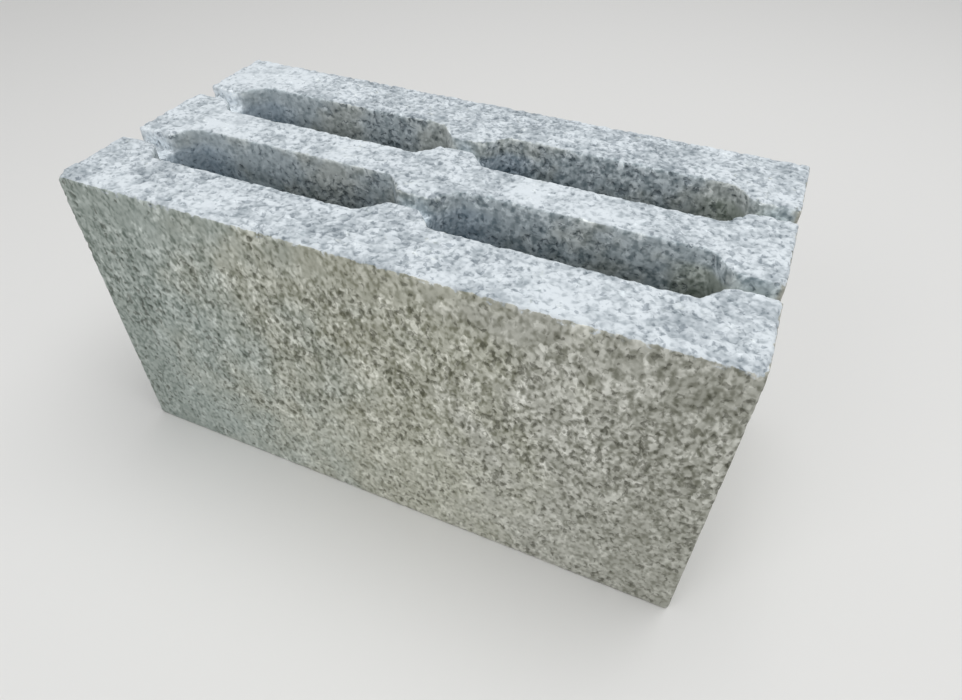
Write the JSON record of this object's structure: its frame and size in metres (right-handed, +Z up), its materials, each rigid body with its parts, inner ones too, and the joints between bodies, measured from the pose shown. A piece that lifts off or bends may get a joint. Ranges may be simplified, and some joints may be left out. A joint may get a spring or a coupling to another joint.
{
  "type": "concrete block",
  "caption": "Hollow concrete wall block with rows of long slots through its height, split by webs, and grooves along the top where the core bars lay.",
  "frame": {"origin": "middle of the bottom bed face", "axes": "+X along the block, +Y across it, +Z up towards the face with the grooves"},
  "size_m": [0.39, 0.19, 0.2],
  "materials": {
    "concrete": "bare vibro-pressed concrete, open and granular on top, rubbed by the mould on the sides"
  },
  "bodies": {
    "root": {"block": "concrete"}
  },
  "joints": []
}
